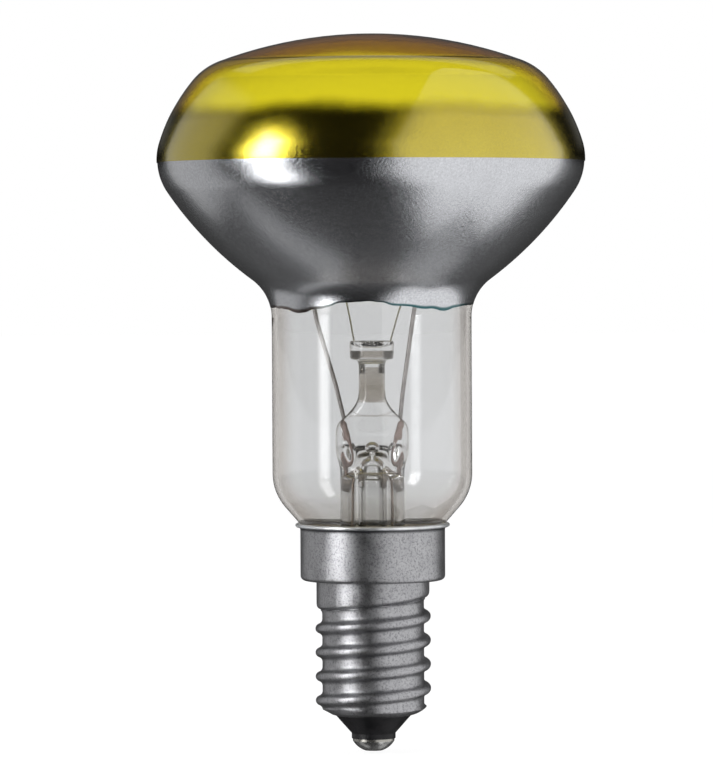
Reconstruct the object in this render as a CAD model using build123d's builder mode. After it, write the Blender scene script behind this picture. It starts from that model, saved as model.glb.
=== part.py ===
from build123d import *

import os
from math import asin, atan2, cos, degrees, hypot, radians, sin, sqrt, tan

# Reflector lamp with a screw cap, in millimetres. The origin is the middle of the end contact and +Z runs
# up the axis to the face. +X is the right side and -Y the front.

# Outline of the blown bulb
lamp_length = 84.0
bulb_diameter = 50.0
equator_drop = 14.6
face_radius = 51.0
knuckle_radius = 7.2
side_radius = 21.0
side_lean = 17.0
equator_radius = 6.7
bowl_lean = 34.0
bowl_radius = 42.0
neck_fillet = 5.5
neck_diameter = 23.44
shoulder_height = 32.6
shoulder_radius = 6.0
shoulder_lean = 41.0
seal_fillet = 1.5
seal_diameter = 14.8
seal_height = 21.6
glass_wall = 0.6

# Coatings on the bulb
mirror_thickness = 0.1
mirror_rise = 6.6
mirror_edge_lift = 1.1
mirror_edge_rise = [0.1, -0.1, -0.4, 0.35, 0.7, 0.45, -0.1, 0.0, 0.45, 0.2]
lacquer_thickness = 0.08
lacquer_drop = 0.1

# Glass stem: flare tube, press, exhaust tube and arbor
tube_diameter = 7.6
tube_wall = 0.9
flare_height = 24.4
flare_rise = 0.8
flare_rim = 1.0
flare_fillet = 1.6
press_bottom = 31.8
press_middle = 35.0
press_shoulder = 38.6
press_top = 41.2
press_width = 8.0
press_thickness = 3.0
lobe_diameter = 2.0
lobe_spacing = 6.8
exhaust_diameter = 3.4
exhaust_wall = 0.5
exhaust_top = 34.9
exhaust_tip = 16.2
exhaust_taper = 2.4
port_diameter = 1.7
port_height = 35.7
arbor_diameter = 3.1
button_diameter = 5.2
button_height = 2.2
button_top = 48.1
button_dish = 0.8
button_round = 0.6

# Wires
inner_lead_diameter = 0.5
seal_wire_diameter = 0.4
outer_lead_diameter = 0.35
support_diameter = 0.2
filament_diameter = 0.6
filament_drop = 7.4
lead_top_spacing = 6.6
lead_bottom_spacing = 4.7
lead_tip = 1.2
seal_wire_top = 39.0
seal_wire_bottom = 32.8
left_tip = (-8.6, -0.6)
right_tip = (6.6, -5.0)
left_hold = (-4.1, 7.2)
right_hold = (5.5, 6.2)
left_rise = (-4.2, -0.1)
left_rise_height = 3.8
left_knee = (-6.4, -0.3)
left_knee_height = 11.4
right_rise = (3.6, -0.2)
right_rise_height = 3.0
right_knee = (4.9, -1.6)
right_knee_height = 12.4
lead_span = 23.0
rise_bend = 4.0
knee_bend = 6.0
tip_bend = 0.6
filament_bend = 0.4
hook_radius = 0.6
hook_bend = 0.54
support_bend = 1.0
side_lead_bend_radius = 1.2
rim_lead_bend_radius = 1.0
centre_lead_bend_radius = 3.0
centre_lead_gap = 1.0
centre_lead_run = 3.0

# Screw cap
sheet = 0.25
skirt_diameter = 17.0
skirt_bottom = 20.05
rim_diameter = 18.16
rim_height = 26.8
rim_flare = 0.9
collar_diameter = 13.56
collar_bottom = 17.3
thread_major = 13.7
thread_minor = 12.0
thread_pitch = 2.822
crest_round = 0.55
root_round = 0.42
thread_phase = 3.13
thread_land = 0.03
thread_sink = 0.3
groove_sink = 0.15
groove_bottom = 6.9
groove_top = 16.0
cap_hole_diameter = 8.9
cap_end_height = 4.16
cap_end_slope = 7.0
cap_end_round = 2.6
cap_end_turn = 73.0
skirt_corner = 0.5
collar_corner = 0.25

# Insulator, end contact, cement and solder
tip_diameter = 5.16
tip_height = 1.45
tip_collar = 0.6
insulator_top = 6.4
insulator_inset = 0.5
insulator_bore = 1.4
plate_diameter = 4.9
plate_thickness = 0.3
plate_hole = 1.0
contact_flat = 2.1
lead_end = 0.55
cement_top = 26.1
cement_reach = 1.2
lead_bend_height = 25.45
lead_over_rim = 1.8
bead_diameter = 1.1
bead_drop = 0.36
bead_reach = 0.2

# Signs of the two sides along X
left = -1
right = 1

equator_height = lamp_length - equator_drop
mirror_top = equator_height + mirror_rise
lacquer_edge_height = equator_height - lacquer_drop
filament_height = equator_height - filament_drop
bulb_radius = bulb_diameter / 2
neck_radius = neck_diameter / 2
seal_radius = seal_diameter / 2
skirt_radius = skirt_diameter / 2
root_radius = thread_minor / 2
tube_radius = tube_diameter / 2
exhaust_radius = exhaust_diameter / 2
arbor_radius = arbor_diameter / 2
cap_hole_radius = cap_hole_diameter / 2


def polar_point(centre, radius, angle):
    """The point at a radius from a centre, at an angle in degrees up from the horizontal."""
    return Vector(centre.X + radius * cos(radians(angle)), centre.Y + radius * sin(radians(angle)))


def drop_angle(start, end):
    """The angle, in degrees, from straight up to the direction from start to end."""
    return degrees(atan2(end.X - start.X, end.Y - start.Y))


# Centres of the arcs that make the bulb's outline. Each arc is tangent to the next.
equator_centre = Vector(bulb_radius - equator_radius, equator_height)
side_centre = polar_point(equator_centre, equator_radius - side_radius, side_lean)
bowl_centre = polar_point(equator_centre, equator_radius - bowl_radius, -bowl_lean)
face_centre = Vector(0, lamp_length - face_radius)
face_reach = face_radius - knuckle_radius
side_reach = side_radius - knuckle_radius
centre_gap = hypot(side_centre.X - face_centre.X, side_centre.Y - face_centre.Y)
along = (face_reach**2 - side_reach**2 + centre_gap**2) / (2 * centre_gap)
across = sqrt(face_reach**2 - along**2)
to_side = (side_centre - face_centre) / centre_gap
knuckle_centre = face_centre + to_side * along + Vector(to_side.Y, -to_side.X) * across
fillet_offset = neck_radius + neck_fillet - bowl_centre.X
fillet_drop = sqrt((bowl_radius + neck_fillet) ** 2 - fillet_offset**2)
fillet_centre = bowl_centre + Vector(fillet_offset, -fillet_drop)
mirror_edge_height = fillet_centre.Y + mirror_edge_lift

# How far each arc turns the outline, in degrees from level at the middle of the face
face_turn = drop_angle(face_centre, knuckle_centre)
knuckle_turn = drop_angle(side_centre, knuckle_centre)
bowl_turn = drop_angle(bowl_centre, fillet_centre)
cone_fall = (
    neck_radius - seal_radius - (shoulder_radius + seal_fillet) * (1 - cos(radians(shoulder_lean)))
)
cone_length = cone_fall / sin(radians(shoulder_lean))


def bulb_line(depth):
    """Draws the bulb's outline at a depth into the glass, from the middle of the face to the seal."""
    arcs = [
        (knuckle_radius - depth, face_turn - knuckle_turn),
        (side_radius - depth, knuckle_turn - (90 - side_lean)),
        (equator_radius - depth, -side_lean - bowl_lean),
        (bowl_radius - depth, 90 + bowl_lean - bowl_turn),
        (neck_fillet + depth, bowl_turn - 90),
    ]
    first = JernArc((0, lamp_length - depth), (1, 0), face_radius - depth, -face_turn)
    edge = first
    for radius, turn in arcs:
        edge = JernArc(edge @ 1, edge % 1, radius, turn)
    neck = Line(edge @ 1, (neck_radius - depth, shoulder_height))
    shoulder = JernArc(neck @ 1, (0, -1), shoulder_radius - depth, -shoulder_lean)
    cone = Line(shoulder @ 1, shoulder @ 1 + (shoulder % 1) * cone_length)
    seal_turn = JernArc(cone @ 1, cone % 1, seal_fillet + depth, shoulder_lean)
    seal = Line(seal_turn @ 1, (seal_radius - depth, seal_height))
    return first @ 0, seal @ 1


def bulb_layer(outside, inside):
    """Draws the closed outline of the bulb's wall between two depths into the glass."""
    outside_start, outside_end = bulb_line(outside)
    inside_start, inside_end = bulb_line(inside)
    Line(outside_start, inside_start)
    Line(outside_end, inside_end)


def sweep_wire(route, bends, diameter):
    """Sweeps a round wire along straight runs joined by arcs, in the current part."""
    with BuildLine() as path:
        if bends:
            FilletPolyline(*route, radius=bends)
        else:
            Polyline(*route)
    with BuildSketch(Plane(origin=path.line @ 0, z_dir=path.line % 0)) as section:
        Circle(diameter / 2)
    sweep(section.sketch, path=path.line)


def save(piece, name):
    """Labels a finished piece and writes it to its own file."""
    piece.part.label = name
    export_step(piece.part, f"parts/{name}.step")


os.makedirs("parts", exist_ok=True)

# Blown glass envelope
with BuildPart() as glass_bulb:
    with BuildSketch(Plane.XZ):
        with BuildLine():
            bulb_layer(0, glass_wall)
        make_face()
    revolve(axis=Axis.Z)

# Aluminium film inside the bowl. Its lower edge is ragged, as vapour leaves it.
with BuildPart() as mirror_coating:
    with BuildSketch(Plane.XZ):
        with BuildLine():
            bulb_layer(glass_wall, glass_wall + mirror_thickness)
        make_face()
    revolve(axis=Axis.Z)
    split(bisect_by=Plane.XY.offset(mirror_top), keep=Keep.BOTTOM)
    edge_step = neck_diameter / (len(mirror_edge_rise) - 1)
    edge_points = [
        (edge_step * i - neck_radius, mirror_edge_height + rise) for i, rise in enumerate(mirror_edge_rise)
    ]
    with BuildSketch(Plane.XZ):
        with BuildLine():
            ragged_edge = Spline(*edge_points)
            Polyline(ragged_edge @ 0, (-neck_radius, 0), (neck_radius, 0), ragged_edge @ 1)
        make_face()
    extrude(amount=neck_radius, both=True, mode=Mode.SUBTRACT)

# Clear lacquer on the outside of the face, down to the widest line
with BuildPart() as dome_lacquer:
    with BuildSketch(Plane.XZ):
        with BuildLine():
            bulb_layer(-lacquer_thickness, 0)
        make_face()
    revolve(axis=Axis.Z)
    split(bisect_by=Plane.XY.offset(lacquer_edge_height), keep=Keep.TOP)


def seal_point(side, height):
    """A point on the slanting wire that is sealed in the press on one side."""
    share = (height - seal_wire_bottom) / (seal_wire_top - seal_wire_bottom)
    spacing = lead_bottom_spacing + (lead_top_spacing - lead_bottom_spacing) * share
    return Vector(side * spacing / 2, 0, height)


def filament_point(place):
    """A point in the filament's level plane."""
    return Vector(place[0], place[1], filament_height)


def lead_end_point(tip, hold):
    """Where the bent tip of an inner lead ends and the filament starts."""
    towards = filament_point(hold) - filament_point(tip)
    return filament_point(tip) + towards.normalized() * lead_tip


# Inner leads, which spread as they rise to the filament
lead_bends = [rise_bend, knee_bend, tip_bend]


def lead_point(place, height):
    """A point on an inner lead, whose heights stretch with the rise from the press to the filament."""
    stretch = (filament_height - seal_wire_top) / lead_span
    return Vector(place[0], place[1], seal_wire_top + height * stretch)


with BuildPart() as inner_lead_left:
    left_route = [
        seal_point(left, seal_wire_top),
        lead_point(left_rise, left_rise_height),
        lead_point(left_knee, left_knee_height),
        filament_point(left_tip),
        lead_end_point(left_tip, left_hold),
    ]
    sweep_wire(left_route, lead_bends, inner_lead_diameter)

with BuildPart() as inner_lead_right:
    right_route = [
        seal_point(right, seal_wire_top),
        lead_point(right_rise, right_rise_height),
        lead_point(right_knee, right_knee_height),
        filament_point(right_tip),
        lead_end_point(right_tip, right_hold),
    ]
    sweep_wire(right_route, lead_bends, inner_lead_diameter)

# Coiled filament, drawn as the round envelope of its coil
with BuildPart() as filament:
    filament_route = [
        lead_end_point(left_tip, left_hold),
        filament_point(left_hold),
        filament_point(right_hold),
        lead_end_point(right_tip, right_hold),
    ]
    sweep_wire(filament_route, [filament_bend, filament_bend], filament_diameter)


def support_route(side, hold):
    """The route of a support wire: out of the button's edge, up to the filament and over it in a crook."""
    foot = Vector(side * button_diameter * 0.36, button_diameter * 0.1, button_top - button_height * 0.55)
    outward = Vector(hold[0], hold[1], 0).normalized() * hook_radius
    rise = Vector(0, 0, hook_radius)
    held = filament_point(hold)
    return [foot, held + outward - rise * 2, held + outward + rise, held - outward + rise, held - outward]


support_bends = [support_bend, hook_bend, hook_bend]

with BuildPart() as support_wire_left:
    sweep_wire(support_route(left, left_hold), support_bends, support_diameter)

with BuildPart() as support_wire_right:
    sweep_wire(support_route(right, right_hold), support_bends, support_diameter)

# Outer leads. One runs to the rim of the cap at the back, and the other down the axis to the end contact.
channel_radius = (seal_radius + skirt_radius - sheet) / 2
channel_x = -lead_bottom_spacing / 2
channel_y = sqrt(channel_radius**2 - channel_x**2)
rim_out = Vector(channel_x, channel_y, 0).normalized()
cone_out = rim_out * sin(radians(shoulder_lean)) + Vector(0, 0, cos(radians(shoulder_lean)))
under_seal = seal_height - 2 * outer_lead_diameter
side_lead_bend = Vector(channel_x, channel_y, lead_bend_height)
side_lead_end = side_lead_bend + cone_out * lead_over_rim

side_route = [
    seal_point(left, seal_wire_bottom),
    Vector(channel_x, 0, under_seal),
    Vector(channel_x, channel_y, under_seal),
    side_lead_bend,
    side_lead_end,
]

with BuildPart() as outer_lead_side:
    side_bends = [side_lead_bend_radius, side_lead_bend_radius, rim_lead_bend_radius]
    sweep_wire(side_route, side_bends, outer_lead_diameter)

with BuildPart() as outer_lead_centre:
    centre_route = [
        seal_point(right, seal_wire_bottom),
        Vector(lead_bottom_spacing / 2, 0, exhaust_tip - centre_lead_gap),
        Vector(0, 0, insulator_top + centre_lead_run),
        Vector(0, 0, lead_end),
    ]
    centre_bends = [centre_lead_bend_radius, centre_lead_bend_radius]
    sweep_wire(centre_route, centre_bends, outer_lead_diameter)

# Wires sealed in the press, joined end to end to the leads
with BuildPart() as seal_wire_left:
    left_seal = [seal_point(left, seal_wire_bottom), seal_point(left, seal_wire_top)]
    sweep_wire(left_seal, None, seal_wire_diameter)
    for lead in (inner_lead_left, outer_lead_side):
        add(lead.part, mode=Mode.SUBTRACT)

with BuildPart() as seal_wire_right:
    right_seal = [seal_point(right, seal_wire_bottom), seal_point(right, seal_wire_top)]
    sweep_wire(right_seal, None, seal_wire_diameter)
    for lead in (inner_lead_right, outer_lead_centre):
        add(lead.part, mode=Mode.SUBTRACT)

# Exhaust tube, drawn off to a tip inside the cap and open at the top into the port
with BuildPart() as exhaust_tube:
    bore = exhaust_radius - exhaust_wall
    taper_top = exhaust_tip + exhaust_taper
    with BuildSketch(Plane.XZ):
        with BuildLine():
            outside = Line((exhaust_radius, exhaust_top), (exhaust_radius, taper_top))
            drawn = TangentArc(outside @ 1, (exhaust_wall, exhaust_tip), tangent=(0, -1))
            Polyline(drawn @ 1, (0, exhaust_tip), (0, exhaust_tip + exhaust_wall * 2), (bore, taper_top))
            Polyline((bore, taper_top), (bore, exhaust_top), (exhaust_radius, exhaust_top))
        make_face()
    revolve(axis=Axis.Z)

# Flare tube, flared to meet the seal and flattened at its top into the press
with BuildPart() as flare_tube:
    rim_radius = seal_radius - glass_wall
    rim_top = seal_height + flare_rim
    tube_bore = tube_radius - tube_wall
    with BuildSketch(Plane.XZ):
        with BuildLine():
            FilletPolyline(
                (tube_radius, press_bottom),
                (tube_radius, flare_height),
                (rim_radius, rim_top),
                (rim_radius, seal_height),
                (tube_bore, flare_height - flare_rise),
                (tube_bore, press_bottom),
                radius=[flare_fillet, 0, 0, flare_fillet + tube_wall],
            )
            Line((tube_bore, press_bottom), (tube_radius, press_bottom))
        make_face()
    revolve(axis=Axis.Z)
    # The press runs from the round tube to a flat oval, and closes to the arbor's root.
    with BuildSketch(Plane.XY.offset(press_bottom)):
        Circle(tube_radius)
    with BuildSketch(Plane.XY.offset(press_middle)):
        Ellipse(press_width / 2, press_thickness / 2)
    with BuildSketch(Plane.XY.offset(press_shoulder)):
        Ellipse(press_width / 2, press_thickness / 2)
    with BuildSketch(Plane.XY.offset(press_top)):
        Circle(arbor_radius)
    loft()
    # Glass gathers in a bead round each sealed wire.
    lobe_radius = lobe_diameter / 2
    lobe_length = press_shoulder - press_middle
    lobe_middle = (press_shoulder + press_middle) / 2
    with Locations((-lobe_spacing / 2, 0, lobe_middle), (lobe_spacing / 2, 0, lobe_middle)):
        Cylinder(lobe_radius, lobe_length)
    with GridLocations(lobe_spacing, 0, 2, 1):
        with Locations((0, 0, press_middle), (0, 0, press_shoulder)):
            Sphere(lobe_radius)
    # The bore closes on the exhaust tube under the press.
    with BuildSketch(Plane.XZ):
        with BuildLine():
            Polyline(
                (0, press_bottom),
                (tube_bore, press_bottom),
                (exhaust_radius, press_bottom + tube_bore - exhaust_radius),
                (exhaust_radius, exhaust_top),
                (0, exhaust_top),
                close=True,
            )
        make_face()
    revolve(axis=Axis.Z, mode=Mode.SUBTRACT)
    # The port joins the exhaust tube's bore to the front of the press.
    with BuildSketch(Plane.XY.offset(exhaust_top)):
        Circle(exhaust_radius - exhaust_wall)
    extrude(amount=port_height - exhaust_top, mode=Mode.SUBTRACT)
    with BuildSketch(Plane.XZ):
        with Locations((0, port_height)):
            Circle(port_diameter / 2)
    extrude(amount=tube_radius, mode=Mode.SUBTRACT)
    for wire in (seal_wire_left, seal_wire_right, inner_lead_left, inner_lead_right):
        add(wire.part, mode=Mode.SUBTRACT)
    for wire in (outer_lead_side, outer_lead_centre):
        add(wire.part, mode=Mode.SUBTRACT)

# Arbor: a short rod on the press, with its end pressed into a dished button that holds the supports
with BuildPart() as arbor_rod:
    button_radius = button_diameter / 2
    button_bottom = button_top - button_height
    with BuildSketch(Plane.XZ) as arbor_section:
        with BuildLine():
            Polyline((0, button_top - button_dish), (0, press_top), (arbor_radius, press_top))
            Polyline((arbor_radius, press_top), (arbor_radius, button_bottom), (button_radius, button_bottom))
            Polyline((button_radius, button_bottom), (button_radius, button_top))
            rim = Line((button_radius, button_top), (button_radius - 2 * button_round, button_top))
            TangentArc((0, button_top - button_dish), rim @ 1, tangent=(1, 0))
        make_face()
        fillet(arbor_section.vertices().group_by(Axis.X)[-1], button_round)
    revolve(axis=Axis.Z)
    for wire in (support_wire_left, support_wire_right):
        add(wire.part, mode=Mode.SUBTRACT)

# Cap shell: pressed sheet with a flared rim, skirt, collar, rolled thread and rounded end
thread_depth = (thread_major - thread_minor) / 2
flank_across = crest_round + root_round - thread_depth
flank_along = sqrt((crest_round + root_round) ** 2 - flank_across**2)
flank_turn = degrees(atan2(flank_along, flank_across))
wall_radius = root_radius + thread_land
collar_radius = collar_diameter / 2
end_start = Vector(cap_hole_radius, cap_end_height)
end_heading = Vector(cos(radians(cap_end_slope)), sin(radians(cap_end_slope)))
end_normal = Vector(-end_heading.Y, end_heading.X)
end_centre = end_start + end_normal * cap_end_round


def end_arc(inward, radius):
    """Draws the rounded end of the cap at a depth into the sheet, from its hole out to a radius."""
    arc_radius = cap_end_round - inward
    turn = degrees(asin((radius - end_centre.X) / arc_radius)) - cap_end_slope
    return JernArc(end_start + end_normal * inward, end_heading, arc_radius, turn)


def skirt_line(inward):
    """Draws the rim, skirt and collar at a depth into the sheet, from the top down to the thread's wall."""
    lift = inward * tan(radians(45 / 2))
    points = [
        (rim_diameter / 2 - inward, rim_height),
        (skirt_radius - inward, rim_height - rim_flare),
        (skirt_radius - inward, skirt_bottom + inward),
        (collar_radius - inward, skirt_bottom + inward),
        (collar_radius - inward, collar_bottom + lift),
        (wall_radius - inward, collar_bottom + lift - collar_radius + wall_radius),
    ]
    bends = [skirt_corner - inward / 2, skirt_corner - inward / 2, collar_corner, 0]
    return FilletPolyline(*points, radius=bends)


def thread_line(inward, sink):
    """Draws one ridge of the thread at a depth into the sheet, with a foot sunk in the wall."""
    root = root_round + inward
    land = thread_land - inward
    flat = sqrt(root**2 - (root_round - land) ** 2)
    land_turn = degrees(asin(flat / root))
    CenterArc((thread_depth - crest_round, 0), crest_round - inward, -flank_turn, 2 * flank_turn)
    lower = CenterArc((root_round, -flank_along), root, 180 - land_turn, land_turn - flank_turn)
    upper = CenterArc((root_round, flank_along), root, 180 + land_turn, flank_turn - land_turn)
    foot = land - sink
    Polyline(lower @ 0, (foot, flat - flank_along), (foot, flank_along - flat), upper @ 0)


def thread_plane(height):
    """The axial plane, on the thread's root, in which the right-handed helix passes a height."""
    turn = radians(180 + 360 * (height - thread_phase) / thread_pitch)
    radial = Vector(cos(turn), sin(turn))
    root = radial * root_radius + Vector(0, 0, height)
    return Plane(origin=root, x_dir=radial, z_dir=(radial.Y, -radial.X, 0))


def thread_path(start, end):
    """A helix along the thread's root between two heights."""
    foot = Plane(origin=(0, 0, start), x_dir=thread_plane(start).x_dir, z_dir=(0, 0, 1))
    return foot * Helix(thread_pitch, end - start, root_radius, mode=Mode.PRIVATE)


with BuildPart() as cap_hollow:
    with BuildSketch(Plane.XZ):
        with BuildLine():
            skirt_inside = skirt_line(sheet)
            end_inside = end_arc(sheet, wall_radius - sheet)
            Line(skirt_inside @ 1, end_inside @ 1)
            mouth = Line(end_inside @ 0, end_start)
            Polyline(mouth @ 1, (cap_hole_radius, 0), (0, 0), (0, rim_height), skirt_inside @ 0)
        make_face()
    revolve(axis=Axis.Z)

with BuildPart() as cap_shell:
    # A plain barrel takes the ridge. Both run past the ends of the thread and are trimmed to the rounded end.
    barrel_top = skirt_bottom + thread_pitch
    with Locations((0, 0, barrel_top / 2)):
        Cylinder(wall_radius, barrel_top)
    ridge_bottom = thread_pitch
    with BuildSketch(thread_plane(ridge_bottom)):
        with BuildLine():
            thread_line(0, thread_sink)
        make_face()
    sweep(path=thread_path(ridge_bottom, skirt_bottom), is_frenet=True)
    with BuildSketch(Plane.XZ):
        with BuildLine():
            rounded = JernArc(end_start, end_heading, cap_end_round, cap_end_turn)
            Line(rounded @ 1, rounded @ 1 + (rounded % 1) * thread_pitch)
            lead_in = rounded @ 1 + (rounded % 1) * thread_pitch
            Polyline(lead_in, (skirt_radius, lead_in.Y), (skirt_radius, collar_bottom), (0, collar_bottom))
            Polyline((0, collar_bottom), (0, cap_end_height), end_start)
        make_face()
    revolve(axis=Axis.Z, mode=Mode.INTERSECT)
    with BuildSketch(Plane.XZ):
        with BuildLine():
            skirt_outside = skirt_line(0)
            foot = skirt_outside @ 1
            Polyline(foot, (0, foot.Y), (0, rim_height), skirt_outside @ 0)
        make_face()
    revolve(axis=Axis.Z)
    add(cap_hollow.part, mode=Mode.SUBTRACT)
    # The sheet is rolled, so the inside follows the thread.
    with BuildSketch(thread_plane(groove_bottom)):
        with BuildLine():
            thread_line(sheet, groove_sink)
        make_face()
    sweep(path=thread_path(groove_bottom, groove_top), is_frenet=True, mode=Mode.SUBTRACT)
    # The side lead is bedded in a nick in the rim.
    add(outer_lead_side.part, mode=Mode.SUBTRACT)

# Cement between the bulb's seal and the skirt
with BuildPart() as capping_cement:
    with BuildSketch(Plane.XZ):
        with BuildLine():
            bulb_layer(-cement_reach, 0)
        make_face()
    revolve(axis=Axis.Z)
    add(cap_hollow.part, mode=Mode.INTERSECT)
    split(bisect_by=Plane.XY.offset(cement_top), keep=Keep.BOTTOM)
    add(outer_lead_side.part, mode=Mode.SUBTRACT)

# Moulded glass insulator in the end of the cap
with BuildPart() as cap_insulator:
    tip_radius = tip_diameter / 2
    seat_radius = wall_radius - sheet - insulator_inset
    with BuildSketch(Plane.XZ):
        with BuildLine():
            end_face = Line(end_start, end_start + end_normal * sheet)
            seat = end_arc(sheet, seat_radius)
            Polyline(
                seat @ 1,
                (seat_radius, insulator_top),
                (insulator_bore / 2, insulator_top),
                (insulator_bore / 2, tip_height),
                (tip_radius, tip_height),
                (tip_radius, tip_height + tip_collar),
                end_start,
            )
        make_face()
    revolve(axis=Axis.Z)

# End contact: a washer on the insulator, and the solder that joins the centre lead to it
with BuildPart() as contact_plate:
    with BuildSketch(Plane.XY.offset(tip_height - plate_thickness)):
        Circle(plate_diameter / 2)
        Circle(plate_hole / 2, mode=Mode.SUBTRACT)
    extrude(amount=plate_thickness)

with BuildPart() as contact_solder:
    plate_bottom = tip_height - plate_thickness
    with BuildSketch(Plane.XZ):
        with BuildLine():
            dome = TangentArc((contact_flat / 2, 0), (plate_diameter / 2, plate_bottom), tangent=(1, 0.35))
            Polyline(dome @ 1, (0, plate_bottom), (0, 0), dome @ 0)
        make_face()
    revolve(axis=Axis.Z)
    add(outer_lead_centre.part, mode=Mode.SUBTRACT)

# Solder bead that joins the side lead to the rim
with BuildPart() as side_solder:
    with Locations(side_lead_end + rim_out * bead_reach - Vector(0, 0, bead_drop)):
        Sphere(bead_diameter / 2)
    for neighbour in (cap_shell, outer_lead_side):
        add(neighbour.part, mode=Mode.SUBTRACT)

save(glass_bulb, "glass_bulb")
save(mirror_coating, "mirror_coating")
save(dome_lacquer, "dome_lacquer")
save(flare_tube, "flare_tube")
save(exhaust_tube, "exhaust_tube")
save(arbor_rod, "arbor_rod")
save(seal_wire_left, "seal_wire_left")
save(seal_wire_right, "seal_wire_right")
save(inner_lead_left, "inner_lead_left")
save(inner_lead_right, "inner_lead_right")
save(support_wire_left, "support_wire_left")
save(support_wire_right, "support_wire_right")
save(filament, "filament")
save(outer_lead_side, "outer_lead_side")
save(outer_lead_centre, "outer_lead_centre")
save(capping_cement, "capping_cement")
save(cap_shell, "cap_shell")
save(cap_insulator, "cap_insulator")
save(contact_plate, "contact_plate")
save(contact_solder, "contact_solder")
save(side_solder, "side_solder")
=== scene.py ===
from math import cos, pi, radians, sin, sqrt

import bmesh
import bpy
from mathutils import Matrix, Vector, noise


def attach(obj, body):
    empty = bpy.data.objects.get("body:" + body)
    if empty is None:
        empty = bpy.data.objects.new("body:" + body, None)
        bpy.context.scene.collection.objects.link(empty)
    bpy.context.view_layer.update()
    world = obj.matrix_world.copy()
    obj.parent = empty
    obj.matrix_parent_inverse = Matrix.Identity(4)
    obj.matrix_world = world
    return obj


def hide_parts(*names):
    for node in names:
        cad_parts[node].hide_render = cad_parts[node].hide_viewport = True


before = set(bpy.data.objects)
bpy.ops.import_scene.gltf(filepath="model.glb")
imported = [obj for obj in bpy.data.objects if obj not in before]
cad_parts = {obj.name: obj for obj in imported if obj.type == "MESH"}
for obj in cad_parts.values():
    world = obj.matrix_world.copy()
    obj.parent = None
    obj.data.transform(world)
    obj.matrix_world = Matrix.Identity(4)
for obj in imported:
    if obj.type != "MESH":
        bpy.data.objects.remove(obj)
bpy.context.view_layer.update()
scene = bpy.context.scene
mm = 0.001
touching = 1e-7  # points this close, in metres, are one point
crispAngle = 50  # edges sharper than this, in degrees, aren't shaded smooth
noiseSpan = (0.3, 0.7)  # most of a noise lies in here
print("frame loaded:", len(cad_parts), "nodes")


# small mesh helpers

def finishMesh(bm, name, sharpAngle=None, merge=True):
    # closes doubles, turns faces outwards and hangs the mesh on an object
    if merge:
        bmesh.ops.remove_doubles(bm, verts=bm.verts, dist=touching)
        bmesh.ops.recalc_face_normals(bm, faces=bm.faces)
    mesh = bpy.data.meshes.new(name)
    bm.to_mesh(mesh)
    bm.free()
    mesh.shade_smooth()
    if sharpAngle:
        mesh.set_sharp_from_angle(angle=radians(sharpAngle))
    piece = bpy.data.objects.new(name, mesh)
    scene.collection.objects.link(piece)
    return piece


def dress(piece, material):
    piece.data.materials.clear()
    piece.data.materials.append(material)


def place(piece, material, slotName, *nodes):
    dress(piece, material)
    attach(piece, "root")
    if nodes:
        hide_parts(*nodes)


def faceOut(bm):
    # an open skin round the axis, turned so that its faces look away from it
    bmesh.ops.recalc_face_normals(bm, faces=bm.faces)
    if sum(f.normal.x * f.calc_center_median().x for f in bm.faces) < 0:
        bmesh.ops.reverse_faces(bm, faces=bm.faces)


def vertsIn(geom):
    return [g for g in geom if isinstance(g, bmesh.types.BMVert)]


def edgesIn(geom):
    return [g for g in geom if isinstance(g, bmesh.types.BMEdge)]


def spinRound(bm, segments):
    bmesh.ops.spin(bm, geom=bm.verts[:] + bm.edges[:], cent=(0, 0, 0), axis=(0, 0, 1),
                   dvec=(0, 0, 0), angle=2 * pi, steps=segments, use_merge=True)


def cutBy(bm, point, normal, above):
    # throws away what is above or below a plane
    bmesh.ops.bisect_plane(bm, geom=bm.verts[:] + bm.edges[:] + bm.faces[:], plane_co=point,
                           plane_no=normal, clear_outer=above, clear_inner=not above)


def cutAt(bm, height, above):
    cutBy(bm, (0, 0, height * mm), (0, 0, 1), above)


# small node helpers: a noise is given as scale, detail and roughness

def newMaterial(name):
    material = bpy.data.materials.new(name)
    material.use_nodes = True
    tree = material.node_tree
    shader = tree.nodes["Principled BSDF"]
    coords = tree.nodes.new("ShaderNodeTexCoord").outputs["Object"]
    return material, tree, shader, coords


def setSockets(shader, values):
    for name, value in values.items():
        shader.inputs[name].default_value = value


def addNoise(tree, coords, scale, detail, roughness=0.5):
    node = tree.nodes.new("ShaderNodeTexNoise")
    setSockets(node, {"Scale": scale, "Detail": detail, "Roughness": roughness})
    tree.links.new(coords, node.inputs["Vector"])
    return node.outputs["Fac"]


def addStretch(tree, coords, scale):
    node = tree.nodes.new("ShaderNodeMapping")
    node.inputs["Scale"].default_value = scale
    tree.links.new(coords, node.inputs["Vector"])
    return node.outputs["Vector"]


def addRamp(tree, fac, stops):
    node = tree.nodes.new("ShaderNodeValToRGB")
    elements = node.color_ramp.elements
    while len(elements) < len(stops):
        elements.new(0.5)
    for element, (position, colour) in zip(elements, stops):
        element.position = position
        element.color = (*colour, 1.0)
    tree.links.new(fac, node.inputs["Fac"])
    return node.outputs["Color"]


def addTones(tree, pattern, dark, light, span=noiseSpan):
    return addRamp(tree, pattern, [(span[0], dark), (span[1], light)])


def addRange(tree, value, fromMin, fromMax, toMin=0.0, toMax=1.0, kind="LINEAR"):
    node = tree.nodes.new("ShaderNodeMapRange")
    node.interpolation_type = kind
    setSockets(node, {"From Min": fromMin, "From Max": fromMax, "To Min": toMin, "To Max": toMax})
    tree.links.new(value, node.inputs["Value"])
    return node.outputs["Result"]


def addMath(tree, operation, first, second=0.0):
    node = tree.nodes.new("ShaderNodeMath")
    node.operation = operation
    for socket, value in zip(node.inputs, (first, second)):
        if isinstance(value, (int, float)):
            socket.default_value = value
        else:
            tree.links.new(value, socket)
    return node.outputs["Value"]


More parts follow.
